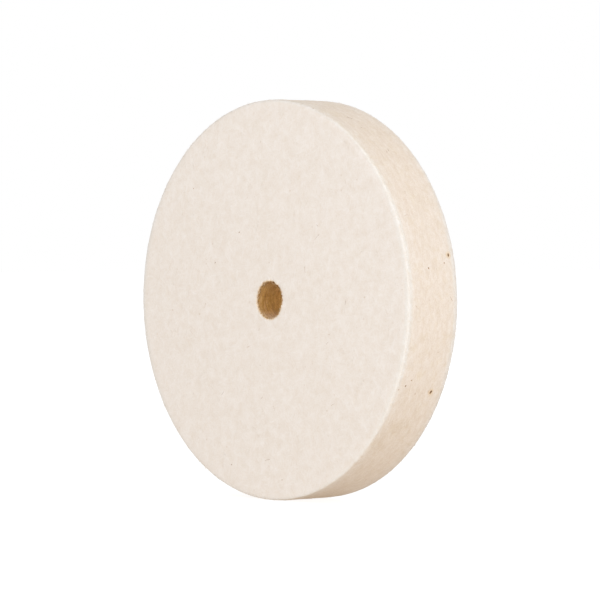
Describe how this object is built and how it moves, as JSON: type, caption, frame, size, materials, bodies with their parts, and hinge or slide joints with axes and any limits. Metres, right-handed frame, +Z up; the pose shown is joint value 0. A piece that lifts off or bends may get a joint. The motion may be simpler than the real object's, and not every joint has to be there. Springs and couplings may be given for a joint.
{
  "type": "felt polishing wheel",
  "caption": "Thick flat disc of pressed wool felt with softened edges and a hardened central bore, used on a motor spindle to polish stone and metal.",
  "frame": {"origin": "middle of the wheel, on the axis of its bore and half way between its two faces", "axes": "+Y along the axis that the wheel spins about, from the front face to the rear face; +Z up; +X to the right seen from the front"},
  "size_m": [0.15, 0.025, 0.15],
  "materials": {
    "pressed_felt": "matt, off-white pressed wool felt with fine mottling and a few dark flecks",
    "hardened_felt": "brown, glue-hardened felt with streaks that run round the bore"
  },
  "bodies": {
    "root": {"felt_disc": "pressed_felt", "bore_lining": "hardened_felt"}
  },
  "joints": []
}
